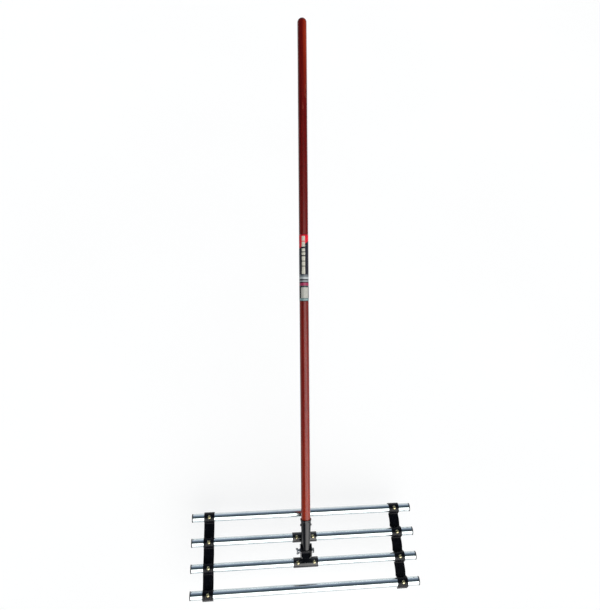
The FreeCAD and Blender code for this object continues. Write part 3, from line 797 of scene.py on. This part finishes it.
def floor_material():
    """A plain white floor that gives off light, so that the shadows on it stay faint."""
    mat = Shading("studio_floor")
    tone = mat.noise(mat.place, 1.2, 2)
    colour = mat.ramp(tone, [(0.3, linear(122, 123, 124)), (0.7, linear(126, 127, 128))])
    mat.set(Base_Color=colour, Roughness=1.0, Specular_IOR_Level=0.0)
    mat.set(Emission_Color=(1.0, 1.0, 1.0, 1.0), Emission_Strength=0.81)
    return mat.material


bpy.ops.mesh.primitive_plane_add(size=FLOOR_SIZE, location=(0, 0, PIVOT.z - HEAD_REACH))
floor = bpy.context.object
floor.name = "studio_floor"
floor.data.materials.append(floor_material())

WINDOW = (3.6, 3.55, 3.45, 1)
BACKDROP = (0.995, 1.003, 1.005, 1)
# The surroundings from front to back, by the Y of their direction from -1 to 1.
SURROUNDINGS = (
    (-1.0, (0.14, 0.14, 0.16, 1)), (-0.22, (0.15, 0.2, 0.175, 1)),
    (-0.02, (0.055, 0.075, 0.078, 1)), (0.2, (0.05, 0.075, 0.085, 1)),
    (0.55, (0.13, 0.17, 0.23, 1)), (0.85, (0.34, 0.4, 0.5, 1)), (0.98, (0.86, 0.91, 1.0, 1)),
)


def studio_world():
    """A bright window to the front and right over dim surroundings that brighten at the back.

    The camera itself sees a plain backdrop as bright as the floor, so no horizon shows.
    """
    world = bpy.data.worlds.new("studio_world")
    world.use_nodes = True
    nodes = Nodes(world.node_tree)
    background = world.node_tree.nodes["Background"]

    def direction_ramp(value, stops):
        """A ramp over a direction's X or Y, which runs from -1 to 1."""
        share = nodes.maths("ADD", nodes.maths("MULTIPLY", value, 0.5), 0.5)
        return nodes.ramp(share, [(position * 0.5 + 0.5, colour) for position, colour in stops])

    x, y, _ = nodes.parts(nodes.add("ShaderNodeTexCoord").outputs["Generated"])
    front = direction_ramp(y, [(-0.4, 1.0), (-0.26, 0.08), (-0.05, 0.0)])
    right = direction_ramp(x, [(-0.32, 0.0), (-0.16, 1.0), (0.7, 1.0), (0.95, 0.3)])
    light = nodes.blend(nodes.maths("MULTIPLY", front, right),
                        direction_ramp(y, SURROUNDINGS), WINDOW)
    seen = nodes.add("ShaderNodeLightPath").outputs["Is Camera Ray"]
    nodes.join(nodes.blend(seen, light, BACKDROP), background.inputs["Color"])
    background.inputs["Strength"].default_value = 1.0
    bpy.context.scene.world = world


studio_world()


def sun(name, azimuth, elevation, strength, angle, colour):
    """A soft distant light; azimuth 0 comes from the front, 90 from the right."""
    data = bpy.data.lights.new(name, "SUN")
    data.energy = strength
    data.angle = math.radians(angle)
    data.color = colour
    lamp = bpy.data.objects.new(name, data)
    bpy.context.scene.collection.objects.link(lamp)
    a, e = math.radians(azimuth), math.radians(elevation)
    towards = Vector((math.sin(a) * math.cos(e), -math.cos(a) * math.cos(e), math.sin(e)))
    lamp.rotation_mode = "QUATERNION"
    lamp.rotation_quaternion = towards.to_track_quat("Z", "Y")
    lamp.location = towards * 6


sun("key_light", 46, 32, 0.5, 60, (1.0, 0.985, 0.96))

# The camera fitted to the photograph: where it stands, how it is turned and its lens.
CAMERA_PLACE = (-0.177, 0.008, 1.774)
CAMERA_YAW, CAMERA_PITCH, CAMERA_ROLL = math.radians(13.9), math.radians(63.9), math.radians(12.0)
SENSOR_MM, LENS_MM = 36, 30.16


def photo_camera():
    """Standing over the head and looking down the handle, with the photograph's roll."""
    yaw, pitch, roll = CAMERA_YAW, CAMERA_PITCH, CAMERA_ROLL
    forward = Vector((math.sin(yaw) * math.cos(pitch), math.cos(yaw) * math.cos(pitch),
                      -math.sin(pitch)))
    level = Vector((math.cos(yaw), -math.sin(yaw), 0))
    over = level.cross(forward)
    right = level * math.cos(roll) + over * math.sin(roll)
    up = over * math.cos(roll) - level * math.sin(roll)
    data = bpy.data.cameras.new("photo_camera")
    data.sensor_width = SENSOR_MM
    data.lens = LENS_MM
    camera = bpy.data.objects.new("photo_camera", data)
    bpy.context.scene.collection.objects.link(camera)
    turn = Matrix((right, up, -forward)).transposed()
    camera.matrix_world = Matrix.Translation(CAMERA_PLACE) @ turn.to_4x4()
    bpy.context.scene.camera = camera


photo_camera()
bpy.context.scene.view_settings.view_transform = "Standard"
